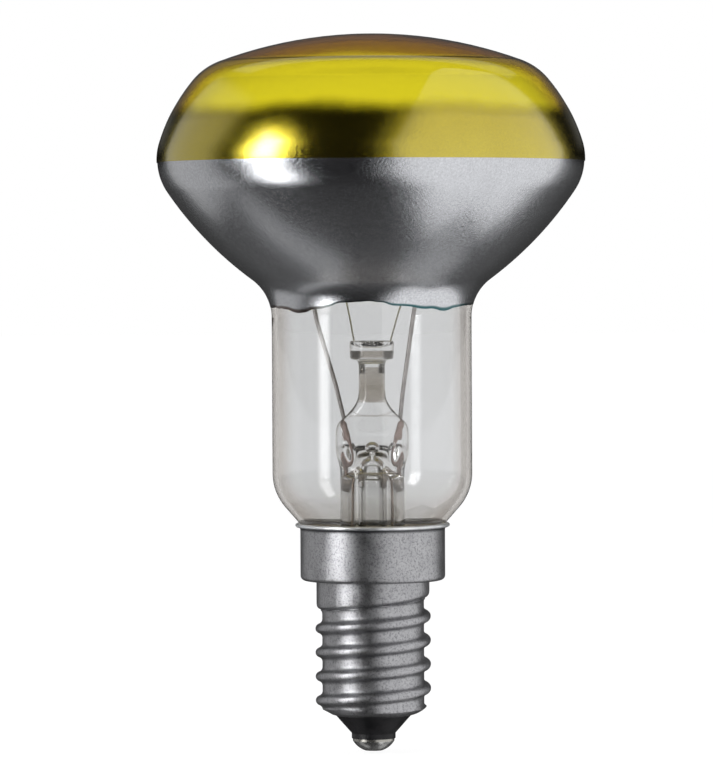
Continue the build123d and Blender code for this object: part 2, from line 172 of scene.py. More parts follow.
def addMix(tree, factor, first, second, blend="MIX"):
    node = tree.nodes.new("ShaderNodeMix")
    node.data_type = "RGBA"
    node.blend_type = blend
    for name, value in (("Factor_Float", factor), ("A_Color", first), ("B_Color", second)):
        socket = next(s for s in node.inputs if s.identifier == name)
        if isinstance(value, bpy.types.NodeSocket):
            tree.links.new(value, socket)
        elif isinstance(value, tuple):
            socket.default_value = (*value, 1.0)
        else:
            socket.default_value = value
    return next(s for s in node.outputs if s.identifier == "Result_Color")


def addProduct(tree, first, second):
    return addMix(tree, 1.0, first, second, "MULTIPLY")


def addBump(tree, shader, height, strength, distance):
    node = tree.nodes.new("ShaderNodeBump")
    setSockets(node, {"Strength": strength, "Distance": distance})
    tree.links.new(height, node.inputs["Height"])
    tree.links.new(node.outputs["Normal"], shader.inputs["Normal"])


def addFacing(tree):
    # 0 where a surface is seen straight on, 1 where it is seen edge-on
    node = tree.nodes.new("ShaderNodeLayerWeight")
    node.inputs["Blend"].default_value = 0.5
    return node.outputs["Facing"]


def readAttribute(tree, name):
    node = tree.nodes.new("ShaderNodeAttribute")
    node.attribute_name = name
    return node.outputs["Fac"]


def axisOf(tree, coords, axis):
    node = tree.nodes.new("ShaderNodeSeparateXYZ")
    tree.links.new(coords, node.inputs["Vector"])
    return node.outputs[axis]


def colourFrom(tree, shader, colour):
    tree.links.new(colour, shader.inputs["Base Color"])


def roughFrom(tree, shader, pattern, roughness):
    spread = addRange(tree, pattern, *noiseSpan, *roughness)
    tree.links.new(spread, shader.inputs["Roughness"])


# blown bulb: one outline, walked in tangent arcs from the middle of the face down to the seal
bulb = {
    "length": 84.0,
    # radius, turn and steps of each arc; a negative turn is hollow
    "arcs": [(51.0, 20.318, 12), (7.2, 29.762, 12), (21.0, 22.92, 10), (6.7, 51.0, 20),
             (42.0, 19.6036, 16), (5.5, -53.6036, 20)],
    "neckHollow": (17.22, 50.905),  # centre of the last arc
    "neckRadius": 11.72,
    "neckFoot": 32.6,
    "shoulder": (6.0, 41.0, 12),
    "cone": 3.7806,
    "sealTurn": (1.5, -41.0, 8),
    "sealFoot": 21.6,
    "wall": 0.6,
    "mirrorLift": 0.02,
    "lacquerLift": 0.08,
    "goldLift": 0.11,
    "goldThickness": 0.02,
    "lacquerEdge": 69.1,
    "glassSplit": 72.4,
    "splitGap": 0.01,
    "mirrorFade": (73.0, 76.5),
    "domeMiddle": 62.0,
    "segments": 192,
}


def walkArc(bm, vert, heading, radius, turn, steps):
    # the centre is on the right of the heading for a positive turn
    side = 1 if turn > 0 else -1
    right = Vector((-sin(heading), 0, -cos(heading)))
    centre = vert.co + right * radius * side * mm
    made = bmesh.ops.spin(bm, geom=[vert], cent=centre, axis=(0, 1, 0), dvec=(0, 0, 0),
                          angle=radians(turn), steps=steps)
    return vertsIn(made["geom_last"])[0], heading + radians(turn)


def walkLine(bm, vert, to):
    last = bmesh.ops.extrude_vert_indiv(bm, verts=[vert])["verts"][0]
    last.co = to
    return last


def walkAhead(bm, vert, heading, length):
    return walkLine(bm, vert, vert.co + Vector((cos(heading), 0, -sin(heading))) * length * mm)


def walkBulb(bm, depth, toSeal):
    # the outline at a depth under the outer face, down to the neck or on to the seal
    vert = bm.verts.new((0, 0, (bulb["length"] - depth) * mm))
    heading = 0.0
    for radius, turn, steps in bulb["arcs"]:
        side = 1 if turn > 0 else -1
        vert, heading = walkArc(bm, vert, heading, radius - side * depth, turn, steps)
    if toSeal:
        neck = Vector(((bulb["neckRadius"] - depth) * mm, 0, bulb["neckFoot"] * mm))
        vert = walkLine(bm, vert, neck)
        radius, turn, steps = bulb["shoulder"]
        vert, heading = walkArc(bm, vert, pi / 2, radius - depth, turn, steps)
        vert = walkAhead(bm, vert, heading, bulb["cone"])
        radius, turn, steps = bulb["sealTurn"]
        vert, heading = walkArc(bm, vert, heading, radius + depth, turn, steps)
        vert = walkLine(bm, vert, Vector((vert.co.x, 0, bulb["sealFoot"] * mm)))
    return vert


def joinEnds(bm, height):
    # closes the drawn outline where it was cut at a level
    ends = [v for v in bm.verts if abs(v.co.z - height * mm) < touching]
    bm.edges.new(ends)


def makeClearBulb():
    # both walls up to the level behind the gold band where the coloured face takes over
    bm = bmesh.new()
    outerEnd = walkBulb(bm, 0, True)
    innerEnd = walkBulb(bm, bulb["wall"], True)
    bm.edges.new((outerEnd, innerEnd))
    top = bulb["glassSplit"] - bulb["splitGap"]
    cutAt(bm, top, True)
    joinEnds(bm, top)
    spinRound(bm, bulb["segments"])
    return finishMesh(bm, "clearBulb", crispAngle)


# silvered bowl, with the ragged lower edge that the vapour leaves
bowl = {
    "cutHeight": 53.4,
    "edgeHeight": 52.0,
    # rise of the edge, in equal steps round the neck from the left side through the front
    "edgeRise": [0.15, 0.1, 0.0, -0.5, 0.07, 0.75, 0.88, 0.4, 0.0, -0.27, 0.17, 0.33,
                 0.4, 0.7, 1.0, 1.1, 0.9, 1.15, 1.2, 1.0, 1.1, 0.9, 0.8, 0.5],
    "toothScale": 900,
    "toothRise": 0.12,
    # rows of faces between the cut and the edge, as shares of the way
    "rows": (0.45, 0.72, 0.82, 0.92, 1.0),
    "film": 0.012,
}


def edgeLevel(point):
    rises = bowl["edgeRise"]
    around = (Vector((-1, 0)).angle_signed(Vector((point.x, point.y))) / (2 * pi)) % 1.0
    spot = (1 - around) * len(rises)
    first = int(spot) % len(rises)
    share = (1 - cos((spot - int(spot)) * pi)) / 2
    rise = rises[first] * (1 - share) + rises[(first + 1) % len(rises)] * share
    tooth = noise.noise(Vector((point.x, point.y, 0)) * bowl["toothScale"]) * bowl["toothRise"]
    return bowl["edgeHeight"] + rise + tooth


def neckRadiusAt(height):
    # the hollow fillet that turns the bowl into the neck
    across, level = bulb["neckHollow"]
    radius = bulb["arcs"][-1][0]
    if height < level:
        return bulb["neckRadius"]
    return across - sqrt(radius**2 - (height - level) ** 2)


def lowestLoop(bm):
    level = min(v.co.z for v in bm.verts) + touching
    return [e for e in bm.edges if e.is_boundary and all(v.co.z < level for v in e.verts)]


def makeMirrorBowl():
    bm = bmesh.new()
    walkBulb(bm, -bulb["mirrorLift"], False)
    spinRound(bm, bulb["segments"])
    bmesh.ops.remove_doubles(bm, verts=bm.verts, dist=touching)
    cutAt(bm, bulb["lacquerEdge"], True)
    cutAt(bm, bowl["cutHeight"], False)
    rim = bm.verts.layers.float.new("rim")
    loop = lowestLoop(bm)
    for share in bowl["rows"]:
        made = bmesh.ops.extrude_edge_only(bm, edges=loop)
        for vert in vertsIn(made["geom"]):
            height = bowl["cutHeight"] + (edgeLevel(vert.co) - bowl["cutHeight"]) * share
            outward = Vector((vert.co.x, vert.co.y, 0)).normalized()
            radius = neckRadiusAt(height) + bulb["mirrorLift"]
            vert.co = outward * radius * mm + Vector((0, 0, height * mm))
            vert[rim] = share
        loop = [e for e in edgesIn(made["geom"]) if e.is_boundary]
    faceOut(bm)
    bmesh.ops.solidify(bm, geom=bm.faces[:], thickness=bowl["film"] * mm)
    return finishMesh(bm, "mirrorBowl", crispAngle, merge=False)


# yellow face: clear coloured glass above the mirror, and a gold band where the lacquer lies
# over the mirror
def makeYellowDome():
    bm = bmesh.new()
    walkBulb(bm, -bulb["lacquerLift"], False)
    walkBulb(bm, bulb["wall"], False)
    foot = bulb["glassSplit"] + bulb["splitGap"]
    cutAt(bm, foot, False)
    joinEnds(bm, foot)
    spinRound(bm, bulb["segments"])
    bmesh.ops.remove_doubles(bm, verts=bm.verts, dist=touching)
    bmesh.ops.recalc_face_normals(bm, faces=bm.faces)
    inner = bm.verts.layers.float.new("inner")
    middle = Vector((0, 0, bulb["domeMiddle"] * mm))
    for vert in bm.verts:
        vert[inner] = float(vert.normal.dot(vert.co - middle) < 0)
    return finishMesh(bm, "yellowDome", crispAngle)


def makeGoldBand():
    bm = bmesh.new()
    walkBulb(bm, -bulb["goldLift"], False)
    walkBulb(bm, bulb["goldThickness"] - bulb["goldLift"], False)
    low, high = bulb["lacquerEdge"], bulb["mirrorFade"][1]
    cutAt(bm, low, False)
    cutAt(bm, high, True)
    joinEnds(bm, low)
    joinEnds(bm, high)
    spinRound(bm, bulb["segments"])
    return finishMesh(bm, "goldBand", crispAngle)


# glass stem: button, rod, press, flare and exhaust tube as one run of rings
stem = {
    # height, half width and half depth
    "rings": [
        (47.3, 0.7, 0.7), (47.45, 1.4, 1.4), (47.85, 1.95, 1.95), (48.1, 2.15, 2.15),
        (48.15, 2.45, 2.45), (48.0, 2.58, 2.58), (47.6, 2.62, 2.62), (46.5, 2.62, 2.62),
        (46.1, 2.58, 2.58), (45.95, 2.4, 2.4), (45.9, 2.0, 2.0), (45.75, 1.62, 1.62),
        (45.2, 1.55, 1.55), (42.2, 1.55, 1.55), (41.2, 1.62, 1.6), (40.2, 2.3, 1.58),
        (39.2, 3.2, 1.55), (38.5, 3.75, 1.5), (37.4, 3.95, 1.45), (36.4, 3.95, 1.45),
        (35.6, 3.95, 1.7), (34.6, 3.9, 2.5), (33.4, 3.82, 3.3), (32.4, 3.8, 3.8),
        (27.0, 3.8, 3.8), (25.2, 3.85, 3.85), (24.3, 4.2, 4.2), (23.4, 5.3, 5.3),
        (22.7, 6.5, 6.5), (22.2, 6.72, 6.72), (21.75, 6.65, 6.65), (21.65, 6.3, 6.3),
        (22.2, 5.2, 5.2), (23.0, 3.9, 3.9), (23.9, 3.1, 3.1), (25.0, 2.92, 2.92),
        (30.8, 2.9, 2.9), (31.9, 2.75, 2.75), (32.6, 2.3, 2.3), (32.7, 1.95, 1.95),
        (32.3, 1.75, 1.75), (31.4, 1.7, 1.7), (19.2, 1.7, 1.7), (18.0, 1.5, 1.5),
        (16.9, 0.85, 0.85), (16.4, 0.4, 0.4),
    ],
    "topHeight": 47.3,
    "tipHeight": 16.2,
    # height and radius of the hollow in the exhaust tube and its port
    "bubble": [(18.4, 0.7), (19.2, 1.15), (21.0, 1.2), (32.6, 1.2), (33.4, 1.15), (33.8, 0.8),
               (34.0, 0.4), (34.3, 0.26), (34.5, 0.34), (34.75, 0.6), (35.1, 0.8), (35.5, 0.84),
               (35.9, 0.66), (36.15, 0.35)],
    "bubbleFoot": 17.8,
    "bubbleTop": 36.2,
    "segments": 32,
    # the sides of the press swell into a lobe round each wire
    "lobeHeights": (34.5, 38.6),
    "lobeFrom": 2.7,
    "lobeScale": (1.1, 1.75, 1.0),
    "levels": 2,
}


def closeLoop(bm, loop, height):
    made = bmesh.ops.extrude_edge_only(bm, edges=loop)
    bmesh.ops.pointmerge(bm, verts=vertsIn(made["geom"]), merge_co=(0, 0, height * mm))


def runRings(bm, rings, startHeight, endHeight):
    # a run of loops pulled out of the first one, with a point at each end
    height, width, depth = rings[0]
    made = bmesh.ops.create_circle(bm, segments=stem["segments"], radius=mm,
                                   matrix=Matrix.Translation((0, 0, height * mm)))
    bmesh.ops.scale(bm, vec=(width, depth, 1), verts=made["verts"])
    loop = list({e for v in made["verts"] for e in v.link_edges})
    closeLoop(bm, loop, startHeight)
    every = list(made["verts"])
    for (oldHeight, oldWidth, oldDepth), (height, width, depth) in zip(rings, rings[1:]):
        made = bmesh.ops.extrude_edge_only(bm, edges=loop)
        fresh = vertsIn(made["geom"])
        bmesh.ops.scale(bm, vec=(width / oldWidth, depth / oldDepth, 1), verts=fresh)
        bmesh.ops.translate(bm, vec=(0, 0, (height - oldHeight) * mm), verts=fresh)
        loop = edgesIn(made["geom"])
        every += fresh
    closeLoop(bm, loop, endHeight)
    return every


def makeGlassStem():
    bm = bmesh.new()
    outside = runRings(bm, stem["rings"], stem["topHeight"], stem["tipHeight"])
    low, high = stem["lobeHeights"]
    lobes = [v for v in outside
             if low * mm < v.co.z < high * mm and abs(v.co.x) > stem["lobeFrom"] * mm]
    bmesh.ops.scale(bm, vec=stem["lobeScale"], verts=lobes)
    bmesh.ops.recalc_face_normals(bm, faces=bm.faces)
    solid = set(bm.faces)
    runRings(bm, [(h, r, r) for h, r in stem["bubble"]], stem["bubbleFoot"], stem["bubbleTop"])
    hollow = [f for f in bm.faces if f not in solid]
    bmesh.ops.recalc_face_normals(bm, faces=hollow)
    bmesh.ops.reverse_faces(bm, faces=hollow)
    piece = finishMesh(bm, "glassStem", merge=False)
    smooth = piece.modifiers.new("round", "SUBSURF")
    smooth.levels = smooth.render_levels = stem["levels"]
    return piece


# coiled filament between the two leads, over the two supports
filament = {
    "height": 62.0,
    "route": [(-8.04, 0.36), (-4.1, 7.2), (5.5, 6.2), (6.48, -3.81)],
    "coilRadius": 0.22,
    "wireRadius": 0.055,
    "pitch": 0.17,
    "stepsPerTurn": 14,
    "sides": 6,
}


def standingCircle(bm, across, height, radius, sides):
    # a circle in the plane of the axis, ready to be spun round it
    aside = Matrix.Translation((across * mm, 0, height * mm)) @ Matrix.Rotation(pi / 2, 4, "X")
    made = bmesh.ops.create_circle(bm, segments=sides, radius=radius * mm, matrix=aside)
    return made["verts"]


def makeFilament():
    bm = bmesh.new()
    for start, end in zip(filament["route"], filament["route"][1:]):
        foot = Vector((*start, filament["height"])) * mm
        run = Vector((end[0] - start[0], end[1] - start[1], 0)) * mm
        turns = round(run.length / (filament["pitch"] * mm))
        steps = turns * filament["stepsPerTurn"]
        before = set(bm.verts)
        circle = standingCircle(bm, filament["coilRadius"], 0, filament["wireRadius"],
                                filament["sides"])
        ring = circle + list({e for v in circle for e in v.link_edges})
        bmesh.ops.spin(bm, geom=ring, cent=(0, 0, 0), axis=(0, 0, 1),
                       dvec=(0, 0, run.length / steps), angle=2 * pi * turns, steps=steps)
        turned = Matrix.Translation(foot) @ run.to_track_quat("Z", "Y").to_matrix().to_4x4()
        bmesh.ops.transform(bm, matrix=turned, verts=[v for v in bm.verts if v not in before])
    ends = [e for e in bm.edges if e.is_boundary]
    bmesh.ops.holes_fill(bm, edges=ends, sides=filament["sides"])
    return finishMesh(bm, "coiledFilament", crispAngle)


# screw cap in two pressings: skirt and collar with a lip rolled round the mouth, and the rolled
# thread below
cap = {
    "sheet": 0.25,
    "segments": 144,
    "crispAngle": 60,
    # skirt, with the levels of its rows of faces
    "mouth": 26.36, "flare": 0.36, "skirtRadius": 8.5, "skirtFoot": 20.05, "skirtCorner": 0.55,
    "skirtRows": (25.8, 23.0), "cornerSteps": 8,
    # collar
    "collarRadius": 6.64, "collarInset": 0.2, "insetSteps": 5, "collarFoot": 17.9,
    "collarRows": (19.2, 18.7), "collarLift": 0.1, "collarCorner": 0.12, "footTurn": 85,
    "footSteps": 7, "tiltFrom": 19.3, "tiltOver": 1.2,
    # lip
    "lipRadius": 8.74, "lipHeight": 26.52, "lipReach": 0.34, "lipRise": 0.25, "lipSides": 16,
    # thread
    "crestTop": 21.42, "crestRadius": 6.78, "threadDepth": 0.8, "pitch": 2.822, "turns": 8,
    "crestRound": 0.6, "rootRound": 0.55, "flank": 66.0, "arcSteps": 7, "threadMerge": 0.002,
    # where the thread runs out under the collar, and where its end is spun in
    "threadTop": 0.45, "collarGap": 0.02, "collarBend": 0.6, "runOut": 1.4,
    "endHeight": 4.17, "endCentre": (3.86, 7.52), "endRound": 3.4,
}


def giveSheet(piece):
    sheet = piece.modifiers.new("sheet", "SOLIDIFY")
    sheet.thickness = cap["sheet"] * mm
    sheet.offset = -1
    return piece


def tiltAt(point):
    # the collar runs out in the first turn of the thread, so its foot climbs from left to right
    return cap["pitch"] / 4 * point.x / (cap["collarRadius"] * mm)


def makeCapSkirt():
    bm = bmesh.new()
    flare, corner, inset = cap["flare"], cap["skirtCorner"], cap["collarInset"]
    radius, steps = cap["skirtRadius"], cap["cornerSteps"]
    vert = bm.verts.new(Vector((radius + flare, 0, cap["mouth"])) * mm)
    vert = walkArc(bm, vert, pi, flare, -90, steps)[0]
    for height in (*cap["skirtRows"], cap["skirtFoot"] + corner):
        vert = walkLine(bm, vert, Vector((radius, 0, height)) * mm)
    vert, heading = walkArc(bm, vert, pi / 2, corner, 90, steps)
    radius = cap["collarRadius"]
    vert = walkLine(bm, vert, Vector((radius + inset, 0, cap["skirtFoot"])) * mm)
    vert, heading = walkArc(bm, vert, heading, inset, -90, cap["insetSteps"])
    for height in (*cap["collarRows"], cap["collarFoot"] + cap["collarLift"]):
        vert = walkLine(bm, vert, Vector((radius, 0, height)) * mm)
    walkArc(bm, vert, heading, cap["collarCorner"], cap["footTurn"], cap["footSteps"])
    spinRound(bm, cap["segments"])
    bmesh.ops.remove_doubles(bm, verts=bm.verts, dist=touching)
    for vert in bm.verts:
        share = min(max((cap["tiltFrom"] - vert.co.z / mm) / cap["tiltOver"], 0.0), 1.0)
        vert.co.z += tiltAt(vert.co) * share * mm
    faceOut(bm)
    return giveSheet(finishMesh(bm, "capSkirt", cap["crispAngle"], merge=False))


def makeCapLip():
    bm = bmesh.new()
    circle = standingCircle(bm, cap["lipRadius"], cap["lipHeight"], 1, cap["lipSides"])
    middle = Matrix.Translation((-cap["lipRadius"] * mm, 0, -cap["lipHeight"] * mm))
    bmesh.ops.scale(bm, vec=(cap["lipReach"], 1, cap["lipRise"]), space=middle, verts=circle)
    spinRound(bm, cap["segments"])
    return finishMesh(bm, "capLip")


def makeCapThread():
    # a chain of round crests and flat roots, turned once with a rise of one pitch so that it
    # joins up with itself
    crest, root, flank, pitch = cap["crestRound"], cap["rootRound"], cap["flank"], cap["pitch"]
    lean = radians(flank)
    slope = (cap["threadDepth"] - (crest + root) * (1 - cos(lean))) / sin(lean)
    flat = pitch - 2 * ((crest + root) * sin(lean) + slope * cos(lean))
    oneTurn = ((crest, flank, slope), (root, -flank, flat),
               (root, -flank, slope), (crest, flank, 0))
    bm = bmesh.new()
    vert = bm.verts.new((cap["crestRadius"] * mm, 0, cap["crestTop"] * mm))
    heading = pi / 2
    for radius, turn, ahead in oneTurn * cap["turns"]:
        vert, heading = walkArc(bm, vert, heading, radius, turn, cap["arcSteps"])
        if ahead:
            vert = walkAhead(bm, vert, heading, ahead)
    steps = cap["segments"]
    bmesh.ops.spin(bm, geom=bm.verts[:] + bm.edges[:], cent=(0, 0, 0), axis=(0, 0, 1),
                   dvec=(0, 0, pitch * mm / steps), angle=2 * pi, steps=steps)
    bmesh.ops.remove_doubles(bm, verts=bm.verts, dist=cap["threadMerge"] * mm)
    cutAt(bm, cap["endHeight"], False)
    slant = Vector((-tiltAt(Vector((1, 0, 0))) * mm, 0, 1))
    cutBy(bm, (0, 0, (cap["collarFoot"] + cap["threadTop"]) * mm), slant, True)
    # the first crest runs out into the collar, and the end is spun in over the insulator
    middle, height = cap["endCentre"]
    bend = cap["collarBend"]
    inside = cap["collarRadius"] - cap["collarGap"] - bend
    for vert in bm.verts:
        below = max(cap["collarFoot"] + tiltAt(vert.co) - vert.co.z / mm, 0.0)
        most = inside + sqrt(max(bend**2 - below**2, 0.0))
        if below > bend:
            most = min(most + (below - bend) * cap["runOut"], cap["crestRadius"])
        drop = height - vert.co.z / mm
        if drop > 0:
            most = min(most, middle + sqrt(max(cap["endRound"] ** 2 - drop**2, 0.0)))
        away = Vector((vert.co.x, vert.co.y, 0))
        share = min(1.0, most * mm / away.length)
        vert.co = away * share + Vector((0, 0, vert.co.z))
    faceOut(bm)
    return giveSheet(finishMesh(bm, "capThread", cap["crispAngle"], merge=False))


# glass
glassLook = {
    "ior": 1.5,
    "cloud": (90.0, 3.0), "cloudShade": 0.97,
    "waves": (140.0, 1.0), "waveStretch": (1.0, 1.0, 0.35), "waveHeight": 0.4,
    "thickFrom": (0.35, 0.75),  # how far a wall is turned away where it starts to look thick
    "warmth": (1.0, 1.08, 1.18),  # how much of each colour a darker zone takes
}
neckLook = {
    "tint": (0.80, 0.805, 0.81), "edge": (0.58, 0.54, 0.50), "wave": 0.06,
    # how clear the glass is at each height: the neck greys towards its foot
    "zones": [(26.0, 1.0), (26.6, 1.0), (27.2, 0.80), (27.8, 0.80), (28.4, 0.88), (29.2, 0.94),
              (33.0, 1.0)],
}
stemLook = {
    "tint": (0.96, 0.96, 0.955), "edge": (0.60, 0.57, 0.52), "wave": 0.05,
    # darker bands at given heights: along the rod, in the button and a thin line on the cone
    "zones": [(39.2, 1.0), (39.35, 0.6), (39.5, 1.0), (40.85, 1.0), (40.98, 0.5), (43.0, 0.45),
              (45.0, 0.55), (45.15, 1.0), (46.2, 1.0), (46.35, 0.5), (46.9, 0.5), (47.05, 1.0)],
    # painted shade on the sides of the flare tube: heights, how far they are turned away, and tone
    "tube": ((33.0, 33.6), (0.2, 0.3), (0.45, 0.4365, 0.4185)),
}


def makeGlass(name, look):
    material, tree, shader, coords = newMaterial(name)
    setSockets(shader, {"Transmission Weight": 1.0, "IOR": glassLook["ior"], "Roughness": 0.0})
    cloud = addNoise(tree, coords, *glassLook["cloud"])
    colour = addTones(tree, cloud, tuple(c * glassLook["cloudShade"] for c in look["tint"]),
                      look["tint"])
    height = axisOf(tree, coords, "Z")
    low, high = look["zones"][0][0], look["zones"][-1][0]
    stops = [((spot - low) / (high - low),
              tuple(1 - (1 - clear) * part for part in glassLook["warmth"]))
             for spot, clear in look["zones"]]
    share = addRange(tree, height, low * mm, high * mm)
    colour = addProduct(tree, colour, addRamp(tree, share, stops))
    # seen edge-on the wall turns darker and browner: partly the thicker glass taking more of the
    # light, partly painted shade
    facing = addFacing(tree)
    thick = addRange(tree, facing, *glassLook["thickFrom"], kind="SMOOTHSTEP")
    colour = addMix(tree, thick, colour, look["edge"])
    if "tube" in look:
        # painted shade: the flare tube's sides darken where they are turned away
        (low, high), turned, tone = look["tube"]
        beside = addMath(tree, "MULTIPLY", addRange(tree, height, low * mm, high * mm, 1.0, 0.0),
                         addRange(tree, facing, *turned))
        colour = addMix(tree, beside, colour, tone)
    colourFrom(tree, shader, colour)
    along = addStretch(tree, coords, glassLook["waveStretch"])
    waves = addNoise(tree, along, *glassLook["waves"])
    addBump(tree, shader, waves, look["wave"], glassLook["waveHeight"] * mm)
    return material


# silver film seen through the glass: satin metal with a fine grain under a clear gloss
filmGrain = {"noise": (4200.0, 4.0, 0.75), "span": (0.36, 0.64), "strength": 0.4, "height": 0.05}
silverLook = {
    "colour": (0.62, 0.63, 0.66), "cloud": (160.0, 3.0), "cloudShade": 0.9,
    "speckle": (0.82, 1.08), "roughness": (0.14, 0.26), "coat": 0.8, "coatRoughness": 0.12,
    # the thinnest film at the edge turns brown on the left and teal on the right
    "rimFrom": (0.7, 0.84), "rimAcross": (-9.0, 1.0),
    "rimLeft": (0.09, 0.06, 0.05), "rimRight": (0.012, 0.09, 0.10),
}


def addFilm(tree, shader, coords, look):
    # gives the shader the metal, gloss and relief of a film, and returns its speckle
    setSockets(shader, {"Metallic": 1.0, "Coat Weight": look["coat"],
                        "Coat Roughness": look["coatRoughness"]})
    grain = addNoise(tree, coords, *filmGrain["noise"])
    roughFrom(tree, shader, grain, look["roughness"])
    addBump(tree, shader, grain, filmGrain["strength"], filmGrain["height"] * mm)
    dark, light = look["speckle"]
    return addTones(tree, grain, (dark,) * 3, (light,) * 3, filmGrain["span"])


def makeSilver():
    material, tree, shader, coords = newMaterial("silverFilm")
    dim = tuple(c * silverLook["cloudShade"] for c in silverLook["colour"])
    cloud = addNoise(tree, coords, *silverLook["cloud"])
    colour = addTones(tree, cloud, dim, silverLook["colour"])
    colour = addProduct(tree, colour, addFilm(tree, shader, coords, silverLook))
    fade = addRange(tree, readAttribute(tree, "rim"), *silverLook["rimFrom"])
    left, right = silverLook["rimAcross"]
    side = addRange(tree, axisOf(tree, coords, "X"), left * mm, right * mm)
    rimTone = addMix(tree, side, silverLook["rimLeft"], silverLook["rimRight"])
    colourFrom(tree, shader, addMix(tree, fade, colour, rimTone))
    return material


# lacquer over the silver: a gold mirror with the same grain, which thins out at its upper edge
goldLook = {
    "low": (0.56, 0.46, 0.055), "high": (0.52, 0.42, 0.035),
    "cloud": (130.0, 3.0), "cloudTone": (0.92, 0.91, 0.88),
    "speckle": (0.93, 1.04), "roughness": (0.10, 0.20), "coat": 1.0, "coatRoughness": 0.10,
    # the vapour ends in a soft wavy edge
    "drift": (110.0, 2.0), "driftReach": 0.35, "fadeMargin": 0.3,
}


def makeGold():
    material, tree, shader, coords = newMaterial("goldMirror")
    height = axisOf(tree, coords, "Z")
    start, end = bulb["mirrorFade"]
    share = addRange(tree, height, bulb["lacquerEdge"] * mm, start * mm)
    zones = addTones(tree, share, goldLook["low"], goldLook["high"], (0.0, 1.0))
    cloud = addNoise(tree, coords, *goldLook["cloud"])
    tone = addTones(tree, cloud, goldLook["cloudTone"], (1.0, 1.0, 1.0))
    tone = addProduct(tree, tone, addFilm(tree, shader, coords, goldLook))
    colourFrom(tree, shader, addProduct(tree, zones, tone))
    reach, margin = goldLook["driftReach"] * mm, goldLook["fadeMargin"]
    drift = addRange(tree, addNoise(tree, coords, *goldLook["drift"]), *noiseSpan, -reach, reach)
    fade = addRange(tree, addMath(tree, "ADD", height, drift), (start + margin) * mm,
                    (end - margin) * mm, 1.0, 0.0, "SMOOTHSTEP")
    tree.links.new(fade, shader.inputs["Alpha"])
    return material


# clear yellow lacquer on the glass: lemon straight through, amber where it is seen edge-on and
# deepest on the face, where the dark brown is partly the lacquer and partly painted shade of the
# dark inside seen through it
yellowLook = {
    "through": (0.885, 0.82, 0.14),
    # colours by how far the glass is turned away
    "side": [(0.58, (0.885, 0.82, 0.14)), (0.72, (0.74, 0.50, 0.18)), (0.90, (0.50, 0.27, 0.12))],
    # painted shade: the dark brown stops on the face stand in for the dark inside seen through the
    # glass
    "face": [(0.58, (0.885, 0.82, 0.14)), (0.68, (0.66, 0.46, 0.16)), (0.73, (0.28, 0.12, 0.12)),
             (0.79, (0.24, 0.08, 0.12)), (0.87, (0.46, 0.145, 0.12)), (0.95, (0.55, 0.14, 0.11))],
    "faceFrom": (80.6, 81.1),
    "drift": (60.0, 2.0), "driftReach": 0.02,
    "specular": 0.3, "wave": 0.03,
}


def makeYellowGlass():
    material, tree, shader, coords = newMaterial("yellowGlass")
    setSockets(shader, {"Transmission Weight": 1.0, "IOR": glassLook["ior"], "Roughness": 0.0,
                        "Specular IOR Level": yellowLook["specular"]})
    reach = yellowLook["driftReach"]
    drift = addRange(tree, addNoise(tree, coords, *yellowLook["drift"]), *noiseSpan, -reach, reach)
    angle = addMath(tree, "ADD", addFacing(tree), drift)
    low, high = yellowLook["faceFrom"]
    upper = addRange(tree, axisOf(tree, coords, "Z"), low * mm, high * mm)
    lacquer = addMix(tree, upper, addRamp(tree, angle, yellowLook["side"]),
                     addRamp(tree, angle, yellowLook["face"]))
    # only the outer face is lacquered
    inner = readAttribute(tree, "inner")
    colourFrom(tree, shader, addMix(tree, inner, lacquer, yellowLook["through"]))
    waves = addNoise(tree, coords, *glassLook["waves"])
    addBump(tree, shader, waves, yellowLook["wave"], glassLook["waveHeight"] * mm)
    return material


# plain drawn wires and soft metals share one maker
metalLook = {"cloud": (420.0, 3.0, 0.6), "spotSpan": (0.32, 0.62), "grain": (3.0, 0.6),
             "grainHeight": 0.06}


def makeMetal(name, colour, roughness, spots, grainScale=2600.0, grainStrength=0.15, metallic=1.0):
    material, tree, shader, coords = newMaterial(name)
    shader.inputs["Metallic"].default_value = metallic
    grain = addNoise(tree, coords, grainScale, *metalLook["grain"])
    cloud = addNoise(tree, coords, *metalLook["cloud"])
    dark = tuple(c * spots for c in colour)
    colourFrom(tree, shader, addTones(tree, cloud, dark, colour, metalLook["spotSpan"]))
    roughFrom(tree, shader, grain, roughness)
    addBump(tree, shader, grain, grainStrength, metalLook["grainHeight"] * mm)
    return material


# rolled aluminium of the cap: satin, with a dense fine grain and a duller bloom in places
capLook = {
    "bright": (0.46, 0.46, 0.475), "dull": (0.37, 0.37, 0.385),
    "bloom": (520.0, 4.0, 0.65), "bloomSpan": (0.3, 0.68), "roughness": (0.30, 0.42),
    "speck": (0.22, 0.22, 0.23), "speckSpan": (0.36, 0.52), "speckMost": 0.9,
    "grain": (4200.0, 3.0, 0.7), "grainStrength": 0.7, "grainHeight": 0.05,
    # painted shade: the skirt darkens into the crease under the lip, where the lip shadows it
    "lipShadow": (0.05, 0.05, 0.055), "crease": (25.85, 26.1), "lipShadowMost": 0.85,
}


